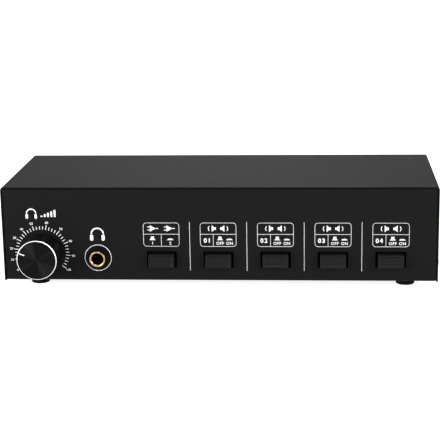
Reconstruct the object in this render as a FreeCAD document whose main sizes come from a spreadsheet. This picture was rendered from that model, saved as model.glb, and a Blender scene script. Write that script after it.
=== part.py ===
"""Stereo speaker selector: two amplifiers in, four pairs of loudspeakers out, and a headphone socket.

A folded steel chassis and cover hold a board with five push switches, a headphone volume control
and a headphone jack behind the front panel, and six four-way spring terminal blocks at the rear.
Frame: +X is the right-hand side seen from the front, -Y is the front, +Z is up. The origin is on
the ground under the middle of the case. All sizes are millimetres.
"""
import FreeCAD, Part
import os
import re

import Sketcher
from FreeCAD import Rotation, Vector

# ---------------------------------------------------------------- driving sizes
SIZES = [
    ("case_width", 240, "cover, side to side"),
    ("case_depth", 90, "cover, front edge to rear edge"),
    ("case_height", 53, "underside of the chassis to the top of the cover"),
    ("chassis_sheet", 1.2, "steel of the chassis"),
    ("chassis_bend", 1.6, "outside radius of the chassis bends"),
    ("cover_sheet", 1.0, "steel of the cover"),
    ("cover_bend", 1.6, "outside radius of the cover bends"),
    ("cover_play", 0.2, "gap between cover and chassis"),
    ("panel_setback", 0.3, "cover edge to the face of the front or rear panel"),
    ("flange_height", 12, "upturned sides of the chassis"),
    ("flange_relief", 4, "gap between a side flange and a panel"),
    ("screw_radius", 1.5, "M3 thread of every screw"),
    ("screw_head", 2.8, "radius of a pan head"),
    ("head_tall", 1.6, "height of a screw head"),
    ("hex_flats", 5.5, "hexagonal screw head or standoff, across flats"),
    ("hole_play", 0.2, "screw to a clearance hole"),
    ("thread_play", 0.05, "screw to a tapped hole"),
    ("cover_screw_inset", 17, "cover edge to a cover screw"),
    ("cover_screw_rise", 7, "underside of the chassis to a cover screw"),
    ("cover_screw_long", 5, "shank of a cover screw"),
    ("foot_height", 5.5, "ground to the underside of the chassis"),
    ("foot_radius", 5.2, "rubber foot"),
    ("foot_inset", 16.8, "case side or front to the middle of a foot"),
    ("board_lift", 3, "standoffs between the chassis floor and the main board"),
    ("board_thick", 1.6, "glass-fibre boards"),
    ("board_front_gap", 1, "front panel to the main board"),
    ("board_side_gap", 5.3, "side of the chassis to the main board"),
    ("board_rear_gap", 1, "terminal board to the main board"),
    ("board_screw_inset", 9.8, "side of the chassis to a board screw"),
    ("board_screw_front", 20.7, "front panel to the front board screws"),
    ("board_screw_rear", 14, "terminal board to the rear board screws"),
    ("board_screw_long", 5.4, "shank of a board screw"),
    ("switch_first_inset", 88.6, "left side of the case to the axis of the first switch"),
    ("switch_last_inset", 25.8, "right side of the case to the axis of the last switch"),
    ("switch_rise", 12.2, "underside of the chassis to the switch axes"),
    ("switch_width", 13, "switch housing"),
    ("switch_depth", 24, "switch housing"),
    ("switch_slot_play", 0.2, "plunger to its slot in the housing"),
    ("switch_slot_spare", 1, "plunger pushed in to the end of its slot"),
    ("button_width", 14.2, "button, across"),
    ("button_height", 7.4, "button, up and down"),
    ("button_long", 10.5, "button, front to back"),
    ("button_proud", 4.2, "button past the front panel when out"),
    ("button_travel", 3, "how far a button goes in"),
    ("button_rim", 0.6, "rim round a button's sunk face"),
    ("button_slope_side", 1.3, "slope from the rim to the face at the left and right"),
    ("button_slope_top", 0.9, "slope from the rim to the face above and below"),
    ("button_sunk", 0.7, "face below the rim"),
    ("window_play_side", 1.2, "button to its window, at the sides"),
    ("window_play_top", 0.9, "button to its window, above and below"),
    ("plunger_side", 3, "square plunger"),
    ("plunger_in_button", 5, "plunger inside the button"),
    ("plunger_in_switch", 8, "plunger inside the housing when out"),
    ("spring_long", 7, "return spring with the button out"),
    ("spring_radius", 2.9, "return spring, outside"),
    ("spring_wire", 0.5, "wire of the return spring"),
    ("dial_inset", 21.9, "left side of the case to the volume axis"),
    ("dial_rise", 15.9, "underside of the chassis to the volume axis"),
    ("knob_radius", 11, "volume knob"),
    ("knob_out", 16, "front edge of the case to the knob's face"),
    ("knob_gap", 1, "front panel to the back of the knob"),
    ("knob_chamfer", 0.5, "cut edge of the knob's face"),
    ("knob_recess_radius", 7.2, "hollow back of the knob"),
    ("knob_recess_gap", 0.5, "end of the bush to the bottom of the hollow"),
    ("knob_screw_back", 7, "knob's face to its grub screw"),
    ("knob_screw_long", 5, "grub screw"),
    ("shaft_radius", 3, "shaft of the volume control"),
    ("shaft_flat", 1.5, "axis to the flat on the shaft"),
    ("shaft_end", 3, "knob's face to the end of the shaft"),
    ("shaft_end_gap", 0.5, "ends of the shaft to the bottoms of their bores"),
    ("shaft_play", 0.05, "shaft to the bush it turns in"),
    ("knob_play", 0.03, "shaft to the knob that is clamped on it"),
    ("pot_radius", 8.5, "can of the volume control"),
    ("pot_deep", 10, "can of the volume control"),
    ("pot_wall", 2, "closed back of the volume control"),
    ("pot_base_width", 14, "base of the volume control on the board"),
    ("bush_radius", 3.5, "threaded bush of the volume control"),
    ("bush_out", 5, "bush past the front panel"),
    ("bush_play", 0.1, "bush or ferrule to its hole in the panel"),
    ("pot_nut_flats", 10, "nut of the volume control, across flats"),
    ("pot_nut_thick", 2, "nut of the volume control"),
    ("pot_washer_radius", 6, "washer of the volume control"),
    ("pot_washer_thick", 0.5, "washer of the volume control"),
    ("jack_inset", 53.1, "left side of the case to the jack's axis"),
    ("jack_rise", 13.1, "underside of the chassis to the jack's axis"),
    ("jack_bore", 3.2, "radius of the bore for a quarter-inch plug"),
    ("jack_ferrule_radius", 4.4, "threaded ferrule of the jack"),
    ("jack_ferrule_out", 3.7, "ferrule past the front panel"),
    ("jack_ferrule_in", 5, "ferrule inside the jack's housing"),
    ("jack_chamfer", 0.5, "edges of the ferrule"),
    ("jack_nut_radius", 5.9, "round nut of the jack"),
    ("jack_nut_thick", 1.8, "round nut of the jack"),
    ("jack_width", 15, "housing of the jack"),
    ("jack_deep", 30, "housing of the jack"),
    ("jack_room", 0.3, "plug to the housing behind the ferrule"),
    ("jack_end_wall", 2, "housing past the tip of the plug"),
    ("block_pitch", 75, "terminal block to terminal block, across"),
    ("block_row_pitch", 23.6, "lower row of terminal blocks to the upper row"),
    ("block_rise", 27, "underside of the chassis to midway between the rows"),
    ("flange_wide", 68, "flange of a terminal block on the rear panel"),
    ("flange_tall", 21, "flange of a terminal block"),
    ("flange_thick", 1.8, "flange of a terminal block"),
    ("flange_corner", 1.5, "cut corners of the flange"),
    ("block_wide", 56, "body of a terminal block"),
    ("block_tall", 18, "body of a terminal block"),
    ("block_out", 10.3, "rear panel to the face of a terminal block"),
    ("block_slope", 2, "how far the face falls back at its lower edge"),
    ("block_slope_drop", 2.6, "middle of a block down to where its face falls back"),
    ("block_inside", 7, "terminal block past the inside of the panel"),
    ("block_play", 0.15, "terminal block to its opening"),
    ("block_wall", 2.6, "face of a terminal block"),
    ("lug_tall", 8, "snap lug of a terminal block"),
    ("lug_out", 0.9, "snap lug past the block"),
    ("lug_long", 3, "snap lug, front to back"),
    ("pole_pitch", 13.4, "lever to lever in a block"),
    ("bay_top", 6.7, "middle of a block up to the top of a lever's window"),
    ("bay_low", 1.7, "middle of a block down to the sill of a lever's window"),
    ("chamber_low", 7.6, "middle of a block down to the floor of its chambers"),
    ("port_side", 3.2, "square hole for a bare wire"),
    ("port_drop", 5.2, "middle of a block down to the middle of a wire hole"),
    ("lever_wide", 8.6, "terminal lever"),
    ("lever_play", 0.3, "lever to the side of its window"),
    ("lever_out", 16, "rear edge of the case to the tip of a lever"),
    ("lever_heel", 2.2, "round heel of a lever about its pivot"),
    ("lever_pivot_out", 3.3, "rear panel to the pivot of a lever"),
    ("lever_pivot_up", 4, "middle of a block up to the pivot of a lever"),
    ("lever_tip", 2.6, "thickness of a lever's tip"),
    ("lever_lip", 0.9, "height of the raised lip at the tip of a lever"),
    ("lever_lip_long", 1.1, "flat top of the lip"),
    ("clip_wide", 5, "contact clip"),
    ("clip_thick", 0.5, "contact clip"),
    ("clip_drop", 3.2, "middle of a block down to a contact clip"),
    ("clip_reach", 6, "rear panel to the fold of a contact clip"),
    ("clip_gap", 0.4, "contact clip to the lever above it"),
    ("clip_tail", 1.2, "contact clip past the terminal board"),
    ("clip_play", 0.1, "contact clip to its slot in the terminal board"),
    ("terminal_board_gap", 1, "main board to the terminal board"),
    ("terminal_board_top", 46, "underside of the chassis to the top of the terminal board"),
    ("bar_wide", 8, "copper link bar"),
    ("bar_thick", 0.8, "copper link bar"),
    ("bar_rise", 4.2, "main board to the top of a link bar"),
    ("bar_reach", 3.6, "terminal board to the far side of a link bar"),
    ("bar_bend", 1.4, "outside radius of a link bar's bend"),
]

SWITCHES = ["input", "output_1", "output_2", "output_3", "output_4"]

# Places worked out from the driving sizes. Y is measured from the middle of the case, Z from the ground.
# The first is how far a cutting tool runs past the face that it opens.
PLACES = {
    "past": "1",
    "inner_width": "case_width - 2*(cover_sheet + cover_play)",
    "floor_top": "foot_height + chassis_sheet",
    "case_top": "foot_height + case_height",
    "wall_top": "case_top - cover_sheet - cover_play",
    "front_face": "-case_depth/2 + panel_setback",
    "front_inside": "front_face + chassis_sheet",
    "rear_face": "case_depth/2 - panel_setback",
    "rear_inside": "rear_face - chassis_sheet",
    "board_under": "floor_top + board_lift",
    "board_top": "board_under + board_thick",
    "board_front": "front_inside + board_front_gap",
    "board_rear": "terminal_board_face - board_rear_gap",
    "screw_side": "inner_width/2 - board_screw_inset",
    "dial_x": "-case_width/2 + dial_inset",
    "dial_z": "foot_height + dial_rise",
    "knob_face": "-case_depth/2 - knob_out",
    "knob_back": "front_face - knob_gap",
    "bush_end": "front_face - bush_out",
    "pot_back": "front_inside + pot_deep",
    "jack_x": "-case_width/2 + jack_inset",
    "jack_z": "foot_height + jack_rise",
    "ferrule_end": "front_face - jack_ferrule_out",
    "switch_first": "-case_width/2 + switch_first_inset",
    "switch_pitch": "(case_width - switch_first_inset - switch_last_inset)/%d" % (len(SWITCHES) - 1),
    "switch_z": "foot_height + switch_rise",
    "button_front": "front_face - button_proud",
    "button_back": "button_front + button_long",
    "switch_face": "button_back + spring_long",
    "slot_end": "switch_face + plunger_in_switch + button_travel + switch_slot_spare",
    "flange_face": "rear_face + flange_thick",
    "block_face": "rear_face + block_out",
    "block_end": "rear_inside - block_inside",
    "terminal_board_face": "block_end - board_thick",
    "row_low": "foot_height + block_rise - block_row_pitch/2",
    "row_high": "foot_height + block_rise + block_row_pitch/2",
    "pivot_y": "rear_face + lever_pivot_out",
    "lever_end": "case_depth/2 + lever_out",
}

# Terminal blocks by row, upper row first, from the left seen from behind
ROWS = [("row_high", ["input_1", "output_1", "output_3"]), ("row_low", ["input_2", "output_2", "output_4"])]
POLES = ["left_red", "left_black", "right_red", "right_black"]
SPRING_SIDES = 12

document = FreeCAD.newDocument("SpeakerSelector")
sheet = document.addObject("Spreadsheet::Sheet", "Sizes")
for row, (alias, number, meaning) in enumerate(SIZES, start=1):
    sheet.set("A%d" % row, meaning)
    sheet.set("B%d" % row, str(number))
    sheet.setAlias("B%d" % row, alias)
document.recompute()

NAMES = {alias for alias, _, _ in SIZES}
pieces = []


# ---------------------------------------------------------------- helpers
def full(words):
    """An expression on the sheet, from one written with the bare names of sizes and places."""
    def swap(match):
        word = match.group(0)
        if word in PLACES:
            return "(" + full(PLACES[word]) + ")"
        return "Sizes." + word if word in NAMES else word
    return re.sub(r"[a-z_][a-z_0-9]*", swap, str(words))


def value(words):
    """The expression's value in millimetres."""
    return float(sheet.evalExpression(full(words)))


def bind(part, **sizes):
    """Ties properties of the part to expressions."""
    for name, words in sizes.items():
        part.setExpression(name, full(words))
    return part


def put(part, x=0, y=0, z=0):
    """Ties the part's place to expressions."""
    for axis, words in zip("xyz", (x, y, z)):
        part.setExpression("Placement.Base." + axis, full(words))
    return part


def box(name, x, y, z):
    """A block between two expressions along each axis."""
    part = document.addObject("Part::Box", name)
    for side, (low, high) in zip(("Length", "Width", "Height"), (x, y, z)):
        part.setExpression(side, full("%s - (%s)" % (high, low)))
    return put(part, x[0], y[0], z[0])


TURNS = {"x": Rotation(Vector(0, 1, 0), 90), "y": Rotation(Vector(1, 0, 0), -90), "z": Rotation()}


def along(part, axis, low, high, across):
    """Stands a cylinder, cone or prism between low and high on an axis through the point across."""
    part.Placement.Rotation = TURNS[axis]
    part.setExpression("Height", full("%s - (%s)" % (high, low)))
    spot = list(across)
    spot.insert("xyz".index(axis), low)
    return put(part, *spot)


def rod(name, axis, radius, low, high, across):
    """A round bar along an axis."""
    part = document.addObject("Part::Cylinder", name)
    return along(bind(part, Radius=radius), axis, low, high, across)


def polygon(name, axis, sides, corner_radius, low, high, across):
    """A regular prism along an axis."""
    part = document.addObject("Part::Prism", name)
    part.Polygon = sides
    return along(bind(part, Circumradius=corner_radius), axis, low, high, across)


def join(name, *parts):
    """The parts as one solid."""
    part = document.addObject("Part::MultiFuse", name)
    part.Shapes = list(parts)
    part.Refine = True
    return part


def cut(name, base, *tools):
    """The base less every tool."""
    part = document.addObject("Part::Cut", name)
    part.Base = base
    part.Tool = tools[0] if len(tools) == 1 else join(name + "_tools", *tools)
    return part


def copies(name, master, spots):
    """The master repeated at each spot, a list of three expressions, as separate solids."""
    links = []
    for number, spot in enumerate(spots):
        link = document.addObject("App::Link", "%s_%d" % (name, number + 1))
        link.LinkedObject = master
        link.LinkTransform = True
        links.append(put(link, *spot))
    group = document.addObject("Part::Compound", name)
    group.Links = links
    return group


def keep(name, part):
    """Labels a finished piece, whose file takes the label as its name."""
    part.Label = name
    pieces.append(part)
    return part


def edges(shape, test):
    """Names of the shape's edges whose middle and direction pass the test."""
    names = []
    for number, edge in enumerate(shape.Edges, start=1):
        middle = edge.valueAt((edge.FirstParameter + edge.LastParameter) / 2)
        if test(edge, middle):
            names.append("Edge%d" % number)
    return names


def chamfer(name, base, size, test):
    """The base with the edges that pass the test cut at 45 degrees."""
    document.recompute()
    part = document.addObject("Part::Chamfer", name)
    part.Base = base
    width = value(size)
    part.Edges = [(int(edge[4:]), width, width) for edge in edges(base.Shape, test)]
    return part


def close(a, b):
    """True where two lengths are the same."""
    return abs(a - b) < 1e-4


def at_level(length, level):
    """A test for edges of one length whose middle is at a height."""
    def test(edge, middle):
        return close(edge.Length, value(length)) and close(middle.z, value(level))
    return test


def at_depth(level):
    """A test for edges that lie in the upright plane at a depth."""
    def test(edge, middle):
        return close(edge.BoundBox.YMin, value(level)) and close(edge.BoundBox.YMax, value(level))
    return test


# ---------------------------------------------------------------- sketches
def new_body(name):
    return document.addObject("PartDesign::Body", name)


def sketch_on(body, name, plane, offset=None):
    """An empty sketch on one of the body's origin planes, or offset from it."""
    sketch = body.newObject("Sketcher::SketchObject", name)
    face = [part for part in body.Origin.OriginFeatures if part.Role == plane][0]
    sketch.AttachmentSupport = (face, [""])
    sketch.MapMode = "FlatFace"
    if offset:
        sketch.setExpression("AttachmentOffset.Base.z", full(offset))
    return sketch


def pin(sketch, geometry, point, across, up=None):
    """Fixes a point of the sketch by its distance across and, if given, up from the origin."""
    for kind, words in (("DistanceX", across), ("DistanceY", up)):
        if words is not None:
            number = sketch.addConstraint(Sketcher.Constraint(kind, -1, 1, geometry, point, value(words)))
            sketch.setExpression("Constraints[%d]" % number, full(words))


def outline(sketch, corners):
    """A closed outline through corners, each a pair of expressions."""
    points = [Vector(value(across), value(up), 0) for across, up in corners]
    count = len(points)
    first = sketch.GeometryCount
    for number in range(count):
        side = Part.LineSegment(points[number], points[(number + 1) % count])
        sketch.addGeometry(side, False)
    for number in range(count):
        after = first + (number + 1) % count
        sketch.addConstraint(Sketcher.Constraint("Coincident", first + number, 2, after, 1))
    for number, (across, up) in enumerate(corners):
        pin(sketch, first + number, 1, across, up)


def rectangle(sketch, across, up, wide, tall):
    """A rectangle about a middle, all four given as expressions."""
    left, right = "%s - (%s)/2" % (across, wide), "%s + (%s)/2" % (across, wide)
    low, high = "%s - (%s)/2" % (up, tall), "%s + (%s)/2" % (up, tall)
    outline(sketch, [(left, low), (right, low), (right, high), (left, high)])


def hexagon(sketch, across, up, flats):
    """A regular hexagon about a middle, all three given as expressions."""
    radius = "%s/2/cos(30)" % flats
    outline(sketch, [("%s + %s*cos(%d)" % (across, radius, turn), "%s + %s*sin(%d)" % (up, radius, turn))
                     for turn in range(0, 360, 60)])


def circle(sketch, across, up, radius):
    """A circle about a middle, all three given as expressions."""
    middle = Vector(value(across), value(up), 0)
    geometry = sketch.addGeometry(Part.Circle(middle, Vector(0, 0, 1), value(radius)), False)
    number = sketch.addConstraint(Sketcher.Constraint("Radius", geometry, value(radius)))
    sketch.setExpression("Constraints[%d]" % number, full(radius))
    pin(sketch, geometry, 3, across, up)


def pad(body, name, sketch, length, both_ways=False):
    """The sketch made solid to a length, from its plane or half each way."""
    feature = body.newObject("PartDesign::Pad", name)
    feature.Profile = sketch
    feature.setExpression("Length", full(length))
    if both_ways:
        feature.SideType = "Symmetric"
    return feature


def pocket(body, name, sketch, side):
    """The sketch cut through all material on one side of its plane, or on both."""
    document.recompute()
    before = body.Shape.Volume
    feature = body.newObject("PartDesign::Pocket", name)
    feature.Profile = sketch
    feature.Type = "ThroughAll"
    if side == "both":
        feature.SideType = "Symmetric"
    feature.Reversed = side == "along_normal"
    document.recompute()
    if body.Shape.Volume > before - 0.01:
        raise RuntimeError(name + " cuts nothing")
    return feature


def fillet(body, name, radius, test):
    """Rounds the body's edges that pass the test."""
    document.recompute()
    base = body.Tip
    names = edges(base.Shape, test)
    feature = body.newObject("PartDesign::Fillet", name)
    feature.Base = (base, names)
    feature.setExpression("Radius", full(radius))
    return feature


# ---------------------------------------------------------------- fasteners
def screw(name, axis, head_side, seat, tip, across, hexagonal=False):
    """A screw whose pan or hexagonal head, on side +1 or -1, bears at seat, and whose shank ends at tip."""
    crown = "%s + %d*head_tall" % (seat, head_side)
    low, high = (seat, crown) if head_side > 0 else (crown, seat)
    shank_low, shank_high = (tip, seat) if head_side > 0 else (seat, tip)
    if hexagonal:
        head = polygon(name + "_head", axis, 6, "hex_flats/2/cos(30)", low, high, across)
    else:
        head = rod(name + "_head", axis, "screw_head", low, high, across)
    shank = rod(name + "_shank", axis, "screw_radius", shank_low, shank_high, across)
    return join(name, head, shank)


def corners_of(across, front, rear):
    """Four spots: left and right of the middle, at the front and at the rear."""
    return [("%s(%s)" % (side, across), depth) for side in ("-", "") for depth in (front, rear)]


FEET = corners_of("case_width/2 - foot_inset", "-case_depth/2 + foot_inset", "case_depth/2 - foot_inset")
BOARD_CORNERS = corners_of("screw_side", "front_inside + board_screw_front", "board_rear - board_screw_rear")
# The volume control takes the place of the front left screw
BOARD_SCREWS = BOARD_CORNERS[1:]
COVER_SCREWS = ["-case_depth/2 + cover_screw_inset", "case_depth/2 - cover_screw_inset"]
COVER_SCREW_Z = "foot_height + cover_screw_rise"


# ---------------------------------------------------------------- case
def make_chassis():
    """Floor and both panels folded from one sheet, with side flanges, standoffs and every opening."""
    body = new_body("Chassis")
    section = sketch_on(body, "ChassisSection", "YZ_Plane")
    outline(section, [
        ("front_face", "foot_height"), ("rear_face", "foot_height"),
        ("rear_face", "wall_top"), ("rear_inside", "wall_top"),
        ("rear_inside", "floor_top"), ("front_inside", "floor_top"),
        ("front_inside", "wall_top"), ("front_face", "wall_top"),
    ])
    pad(body, "ChassisFold", section, "inner_width", both_ways=True)

    flanges = sketch_on(body, "FlangeSection", "XZ_Plane")
    for side in ("-", ""):
        middle = "%s(inner_width/2 - chassis_sheet/2)" % side
        rectangle(flanges, middle, "foot_height + flange_height/2", "chassis_sheet", "flange_height")
    pad(body, "Flanges", flanges, "rear_inside - front_inside - 2*flange_relief", both_ways=True)

    standoffs = sketch_on(body, "StandoffOutline", "XY_Plane", offset="floor_top")
    for across, depth in BOARD_SCREWS:
        hexagon(standoffs, across, depth, "hex_flats")
    pad(body, "Standoffs", standoffs, "board_lift")

    fillet(body, "OuterBends", "chassis_bend", at_level("inner_width", "foot_height"))
    fillet(body, "InnerBends", "chassis_bend - chassis_sheet", at_level("inner_width", "floor_top"))

    front = sketch_on(body, "FrontOpenings", "XZ_Plane")
    circle(front, "dial_x", "dial_z", "bush_radius + bush_play")
    circle(front, "jack_x", "jack_z", "jack_ferrule_radius + bush_play")
    for number in range(len(SWITCHES)):
        rectangle(front, "switch_first + %d*switch_pitch" % number, "switch_z",
                  "button_width + 2*window_play_side", "button_height + 2*window_play_top")
    pocket(body, "FrontCuts", front, "along_normal")

    rear = sketch_on(body, "RearOpenings", "XZ_Plane")
    for _, across, row in block_spots():
        rectangle(rear, across, row, "block_wide + 2*block_play", "block_tall + 2*block_play")
    pocket(body, "RearCuts", rear, "against_normal")

    under = sketch_on(body, "FloorHoles", "XY_Plane")
    for across, depth in BOARD_SCREWS:
        circle(under, across, depth, "screw_radius + thread_play")
    pocket(body, "FloorCuts", under, "along_normal")

    sides = sketch_on(body, "FlangeHoles", "YZ_Plane")
    for depth in COVER_SCREWS:
        circle(sides, depth, COVER_SCREW_Z, "screw_radius + thread_play")
    pocket(body, "FlangeCuts", sides, "both")
    return keep("chassis", body)


def make_cover():
    """Top and sides folded from one sheet, open at the front, rear and bottom."""
    body = new_body("Cover")
    section = sketch_on(body, "CoverSection", "XZ_Plane")
    inner = "case_width/2 - cover_sheet"
    outline(section, [
        ("-case_width/2", "foot_height"), ("-(%s)" % inner, "foot_height"),
        ("-(%s)" % inner, "case_top - cover_sheet"), (inner, "case_top - cover_sheet"),
        (inner, "foot_height"), ("case_width/2", "foot_height"),
        ("case_width/2", "case_top"), ("-case_width/2", "case_top"),
    ])
    pad(body, "CoverFold", section, "case_depth", both_ways=True)

    fillet(body, "OuterBends", "cover_bend", at_level("case_depth", "case_top"))
    fillet(body, "InnerBends", "cover_bend - cover_sheet", at_level("case_depth", "case_top - cover_sheet"))
    holes = sketch_on(body, "CoverHoles", "YZ_Plane")
    for depth in COVER_SCREWS:
        circle(holes, depth, COVER_SCREW_Z, "screw_radius + hole_play")
    pocket(body, "CoverCuts", holes, "both")
    return keep("cover", body)


def make_cover_screws():
    """Two screws in each side of the cover, tapped into the chassis flanges."""
    screws = []
    for side, word in ((-1, "-"), (1, "")):
        for number, depth in enumerate(COVER_SCREWS):
            screws.append(screw("CoverScrew%s%d" % ("LR"[side > 0], number), "x", side,
                                "%s(case_width/2)" % word,
                                "%s(case_width/2 - cover_screw_long)" % word,
                                (depth, COVER_SCREW_Z)))
    group = document.addObject("Part::Compound", "CoverScrews")
    group.Links = screws
    return keep("cover_screws", group)


def make_feet():
    """Round rubber feet, cemented under the floor."""
    foot = rod("Foot", "z", "foot_radius", "0", "foot_height", ("0", "0"))
    keep("feet", copies("Feet", foot, [(across, depth, "0") for across, depth in FEET]))


# ---------------------------------------------------------------- boards
def make_boards():
    """The main board on its standoffs, and the upright board that the contact clips are soldered to."""
    half = "inner_width/2 - board_side_gap"
    sheet_part = box("MainBoardBlank", ("-(%s)" % half, half), ("board_front", "board_rear"),
                     ("board_under", "board_top"))
    holes = [rod("BoardHole%d" % number, "z", "screw_radius + hole_play", "board_under - past",
                 "board_top + past", spot) for number, spot in enumerate(BOARD_SCREWS)]
    keep("main_board", cut("MainBoard", sheet_part, *holes))

    master = screw("BoardScrew", "z", 1, "board_top", "board_top - board_screw_long", ("0", "0"),
                   hexagonal=True)
    spots = [(across, depth, "0") for across, depth in BOARD_SCREWS]
    keep("board_screws", copies("BoardScrews", master, spots))

    body = new_body("TerminalBoard")
    face = sketch_on(body, "TerminalBoardFace", "XZ_Plane", offset="-block_end")
    low, high = "board_top + terminal_board_gap", "foot_height + terminal_board_top"
    half = "block_pitch + block_wide/2"
    outline(face, [("-(%s)" % half, low), (half, low), (half, high), ("-(%s)" % half, high)])
    for _, across, row in pole_spots():
        rectangle(face, across, row + " - clip_drop", "clip_wide + 2*clip_play", "clip_thick + 2*clip_play")
    pad(body, "TerminalBoardSheet", face, "board_thick")
    keep("terminal_board", body)


def make_link_bars():
    """Bent copper bars that join the terminal board to the main board, two behind each column of blocks."""
    body = new_body("LinkBar")
    section = sketch_on(body, "BarSection", "YZ_Plane")
    near, far = "terminal_board_face - bar_reach + bar_thick", "terminal_board_face - bar_reach"
    top, under = "board_top + bar_rise", "board_top + bar_rise - bar_thick"
    outline(section, [("terminal_board_face", under), ("terminal_board_face", top), (far, top),
                      (far, "board_top"), (near, "board_top"), (near, under)])
    pad(body, "BarStrip", section, "bar_wide", both_ways=True)

    def at_bend(edge, middle):
        return close(middle.y, value(far)) and close(middle.z, value(top)) and close(middle.x, 0)

    fillet(body, "BarBend", "bar_bend", at_bend)
    spots = [("%d*block_pitch %s pole_pitch" % (column, side), "0", "0")
             for column in (-1, 0, 1) for side in ("-", "+")]
    keep("link_bars", copies("LinkBars", body, spots))


# ---------------------------------------------------------------- push switches
def make_switches():
    """Five push-push switches, each with a button, its plunger and a return spring."""
    body = box("SwitchBlank", ("-switch_width/2", "switch_width/2"),
               ("switch_face", "switch_face + switch_depth"), ("board_top", "2*switch_z - board_top"))
    half = "plunger_side/2 + switch_slot_play"
    slot = box("SwitchSlot", ("-(%s)" % half, half), ("switch_face - past", "slot_end"),
               ("switch_z - (%s)" % half, "switch_z + (%s)" % half))
    spots = [("switch_first + %d*switch_pitch" % number, "0", "0") for number in range(len(SWITCHES))]
    keep("switch_bodies", copies("SwitchBodies", cut("SwitchBody", body, slot), spots))

    for name, (across, _, _) in zip(SWITCHES, spots):
        keep(name + "_button", button(name, across))
        sides = ("%s - plunger_side/2" % across, "%s + plunger_side/2" % across)
        ends = ("button_back - plunger_in_button", "switch_face + plunger_in_switch")
        levels = ("switch_z - plunger_side/2", "switch_z + plunger_side/2")
        keep(name + "_plunger", box(name + "_Plunger", sides, ends, levels))
        coil = polygon(name + "_Coil", "y", SPRING_SIDES, "spring_radius", "button_back", "switch_face",
                       (across, "switch_z"))
        core = polygon(name + "_Core", "y", SPRING_SIDES, "spring_radius - spring_wire", "button_back",
                       "switch_face", (across, "switch_z"))
        keep(name + "_spring", cut(name + "_Spring", coil, core))


def button(name, across):
    """A button with a sunk face between sloping sides, and a socket for the plunger."""
    left, right = "%s - button_width/2" % across, "%s + button_width/2" % across
    low, high = "switch_z - button_height/2", "switch_z + button_height/2"
    stem = box(name + "_Stem", (left, right), ("button_front", "button_back"), (low, high))
    tray = document.addObject("Part::Wedge", name + "_Tray")
    side, top = "button_rim + button_slope_side", "button_rim + button_slope_top"
    bind(tray, Xmin="button_rim", Xmax="button_width - button_rim", Zmin="button_rim",
         Zmax="button_height - button_rim", Ymin="0", Ymax="button_sunk",
         X2min=side, X2max="button_width - (%s)" % side, Z2min=top, Z2max="button_height - (%s)" % top)
    put(tray, left, "button_front", low)
    half = "plunger_side/2"
    socket = box(name + "_Socket", ("%s - %s" % (across, half), "%s + %s" % (across, half)),
                 ("button_back - plunger_in_button", "button_back + past"),
                 ("switch_z - " + half, "switch_z + " + half))
    return cut(name + "_Button", stem, socket, tray)


# ---------------------------------------------------------------- headphone volume
def make_volume():
    """Volume control on the board, held to the panel by its nut and washer, with its knob."""
    axis = ("dial_x", "dial_z")
    can = rod("PotCan", "y", "pot_radius", "front_inside", "pot_back", axis)
    bush = rod("PotBush", "y", "bush_radius", "bush_end", "pot_back - pot_wall", axis)
    base = box("PotBase", ("dial_x - pot_base_width/2", "dial_x + pot_base_width/2"),
               ("board_front", "pot_back"), ("board_top", "dial_z"))
    bore = rod("PotBore", "y", "shaft_radius + shaft_play", "bush_end - past", "pot_back - pot_wall", axis)
    keep("volume_control", cut("Pot", join("PotSolid", can, bush, base), bore))

    tip = "knob_face + shaft_end"
    bar = rod("ShaftBar", "y", "shaft_radius", tip, "pot_back - pot_wall - shaft_end_gap", axis)
    below = box("ShaftFlat", ("dial_x - shaft_radius - past", "dial_x + shaft_radius + past"),
                (tip + " - past", "bush_end - knob_recess_gap"),
                ("dial_z - shaft_radius - past", "dial_z - shaft_flat"))
    keep("volume_shaft", cut("Shaft", bar, below))

    washer_front = "front_face - pot_washer_thick"
    nut_front = washer_front + " - pot_nut_thick"
    ring = rod("WasherRing", "y", "pot_washer_radius", washer_front, "front_face", axis)
    hole = rod("WasherHole", "y", "bush_radius + bush_play", washer_front + " - past",
               "front_face + past", axis)
    keep("volume_washer", cut("PotWasher", ring, hole))
    blank = polygon("NutBlank", "y", 6, "pot_nut_flats/2/cos(30)", nut_front, washer_front, axis)
    thread = rod("NutThread", "y", "bush_radius + thread_play", nut_front + " - past", "front_face", axis)
    keep("volume_nut", cut("PotNut", blank, thread))

    make_knob(axis)


def make_knob(axis):
    """Turned knob with a cut edge round its face, a hollow back and a grub screw below."""
    blank = rod("KnobBlank", "y", "knob_radius", "knob_face", "knob_back", axis)
    rim = chamfer("KnobRim", blank, "knob_chamfer", at_depth("knob_face"))
    recess = rod("KnobRecess", "y", "knob_recess_radius", "bush_end - knob_recess_gap",
                 "knob_back + past", axis)
    bore = rod("KnobBoreRound", "y", "shaft_radius + knob_play", "knob_face + shaft_end - shaft_end_gap",
               "bush_end", axis)
    below = box("KnobBoreFlat", ("dial_x - shaft_radius - past", "dial_x + shaft_radius + past"),
                ("knob_face", "bush_end + past"),
                ("dial_z - shaft_radius - past", "dial_z - shaft_flat - knob_play"))
    screw_y = "knob_face + knob_screw_back"
    screw_top = "dial_z - shaft_flat - knob_play"
    tapped = rod("KnobTapped", "z", "screw_radius + thread_play", "dial_z - knob_radius - past",
                 screw_top, ("dial_x", screw_y))
    keep("volume_knob", cut("Knob", rim, recess, cut("KnobBore", bore, below), tapped))
    keep("knob_screw", rod("KnobScrew", "z", "screw_radius", screw_top + " - knob_screw_long",
                           screw_top, ("dial_x", screw_y)))


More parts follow.
